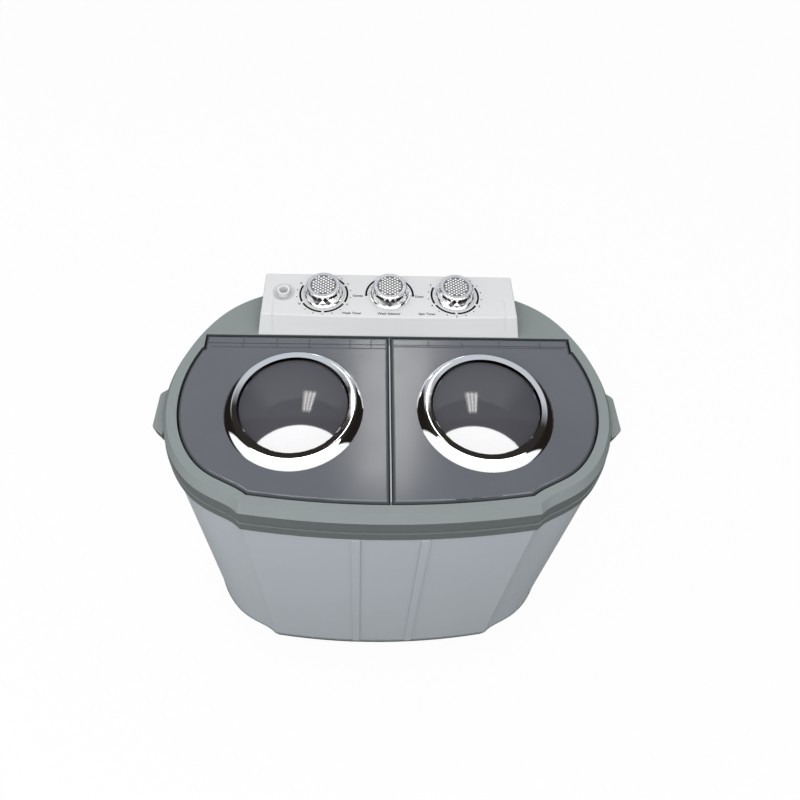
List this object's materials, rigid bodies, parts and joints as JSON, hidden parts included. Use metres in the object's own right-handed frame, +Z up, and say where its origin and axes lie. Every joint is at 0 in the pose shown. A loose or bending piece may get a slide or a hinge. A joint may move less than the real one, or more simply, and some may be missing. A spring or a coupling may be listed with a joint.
{
  "type": "portable washer spin dryer",
  "caption": "Portable twin-tub washer and spin dryer with smoky lids, domed windows, side grips and a raised rear panel with dials.",
  "frame": {"origin": "on the floor, under the middle of the cabinet's overall box", "axes": "+X to the user's right, +Z up, the front faces -Y"},
  "size_m": [0.5898, 0.3611, 0.5668],
  "materials": {
    "frame_plastic": "fine matte",
    "shell_plastic": "satin",
    "pan_plastic": "matte",
    "foot_rubber": "matte",
    "plain_steel": "satin",
    "panel_plastic": "gloss",
    "inner_plastic": "matte",
    "case_plastic": "matte",
    "pipe_plastic": "satin",
    "tub_plastic": "satin",
    "filter_plastic": "satin",
    "bearing_metal": "satin",
    "belt_rubber": "matte",
    "motor_paint": "satin",
    "stator_steel": "laminated",
    "hose_rubber": "matte",
    "capacitor_case": "gloss",
    "lid_plastic": "smoky gloss",
    "ring_chrome": "polished",
    "window_plastic": "smoky clear",
    "knob_chrome": "polished",
    "shaft_plastic": "satin",
    "pulsator_plastic": "satin",
    "shaft_steel": "ground",
    "pulley_plastic": "matte",
    "basket_plastic": "satin"
  },
  "bodies": {
    "cabinet": {"top_frame": "frame_plastic", "hinge_pins": "plain_steel", "body_shell": "shell_plastic", "base_pan": "pan_plastic", "feet": "foot_rubber", "rear_cover": "pan_plastic", "cover_screws": "plain_steel", "control_panel": "panel_plastic", "panel_base": "inner_plastic", "wash_timer": "case_plastic", "spin_timer": "case_plastic", "selector_bracket": "inner_plastic", "inlet_pipe": "pipe_plastic", "wash_tub": "tub_plastic", "lint_filter": "filter_plastic", "pulsator_bearing": "bearing_metal", "drive_belt": "belt_rubber", "wash_motor_frame": "motor_paint", "wash_motor_stator": "stator_steel", "wash_motor_bracket": "plain_steel", "spin_outer_tub": "tub_plastic", "spin_seal": "foot_rubber", "spin_motor_frame": "motor_paint", "spin_motor_stator": "stator_steel", "spin_motor_plate": "plain_steel", "spin_motor_mounts": "foot_rubber", "brake_cable": "case_plastic", "lid_switch": "case_plastic", "drain_valve_body": "pipe_plastic", "wash_drain_pipe": "hose_rubber", "spin_drain_pipe": "hose_rubber", "drain_outlet": "pipe_plastic", "capacitor": "capacitor_case", "cable_gland": "case_plastic"},
    "wash_lid": {"wash_lid": "lid_plastic", "wash_lid_ring": "ring_chrome", "wash_lid_window": "window_plastic"},
    "spin_lid": {"spin_lid": "lid_plastic", "spin_lid_ring": "ring_chrome", "spin_lid_window": "window_plastic"},
    "wash_timer_knob": {"wash_timer_knob": "knob_chrome", "wash_timer_shaft": "shaft_plastic"},
    "selector_knob": {"selector_knob": "knob_chrome", "selector_shaft": "shaft_plastic", "selector_cam": "shaft_plastic"},
    "spin_timer_knob": {"spin_timer_knob": "knob_chrome", "spin_timer_shaft": "shaft_plastic"},
    "pulsator": {"pulsator": "pulsator_plastic", "pulsator_shaft": "shaft_steel", "pulsator_pulley": "pulley_plastic"},
    "wash_motor_rotor": {"motor_pulley": "pulley_plastic", "wash_motor_shaft": "shaft_steel"},
    "spin_rotor": {"spin_basket": "basket_plastic", "basket_ring": "pulsator_plastic", "spin_shaft": "shaft_steel", "brake_drum": "pulley_plastic"},
    "brake_lever": {"brake_lever": "plain_steel"},
    "drain_plunger": {"drain_plunger": "hose_rubber", "drain_rod": "shaft_steel"}
  },
  "joints": [
    {"name": "wash_lid_hinge", "type": "hinge", "parent": "cabinet", "child": "wash_lid", "pos_m": [-0.1208, 0.0775, 0.516], "axis": [-1, 0, 0], "range_deg": [0, 95]},
    {"name": "spin_lid_hinge", "type": "hinge", "parent": "cabinet", "child": "spin_lid", "pos_m": [0.1208, 0.0775, 0.516], "axis": [-1, 0, 0], "range_deg": [0, 95]},
    {"name": "wash_timer_turn", "type": "hinge", "parent": "cabinet", "child": "wash_timer_knob", "pos_m": [-0.0915, 0.1405, 0.55], "axis": [0, 0, -1], "range_deg": [0, 305]},
    {"name": "selector_turn", "type": "hinge", "parent": "cabinet", "child": "selector_knob", "pos_m": [0, 0.1405, 0.55], "axis": [0, 0, -1], "range_deg": [0, 180]},
    {"name": "spin_timer_turn", "type": "hinge", "parent": "cabinet", "child": "spin_timer_knob", "pos_m": [0.0915, 0.1405, 0.55], "axis": [0, 0, -1], "range_deg": [0, 305]},
    {"name": "pulsator_spin", "type": "hinge", "parent": "cabinet", "child": "pulsator", "pos_m": [-0.1208, -0.0295, 0.17], "axis": [0, 0, 1], "continuous": true},
    {"name": "wash_motor_spin", "type": "hinge", "parent": "cabinet", "child": "wash_motor_rotor", "pos_m": [-0.1208, 0.095, 0.12], "axis": [0, 0, 1], "continuous": true},
    {"name": "basket_spin", "type": "hinge", "parent": "cabinet", "child": "spin_rotor", "pos_m": [0.1208, -0.0295, 0.2], "axis": [0, 0, 1], "continuous": true},
    {"name": "brake_swing", "type": "hinge", "parent": "cabinet", "child": "brake_lever", "pos_m": [0.1808, -0.0655, 0.134], "axis": [0, 0, 1], "range_deg": [0, 2.85]},
    {"name": "drain_lift", "type": "slide", "parent": "cabinet", "child": "drain_plunger", "axis": [0, 0, 1], "range_m": [0, 0.008]}
  ],
  "couplings": [
    {"joint": "wash_motor_spin", "follows": "pulsator_spin", "ratio": 3.5464},
    {"joint": "brake_swing", "follows": "spin_lid_hinge", "ratio": 0.03},
    {"joint": "drain_lift", "follows": "selector_turn", "m_per_rad": 0.0025464}
  ]
}
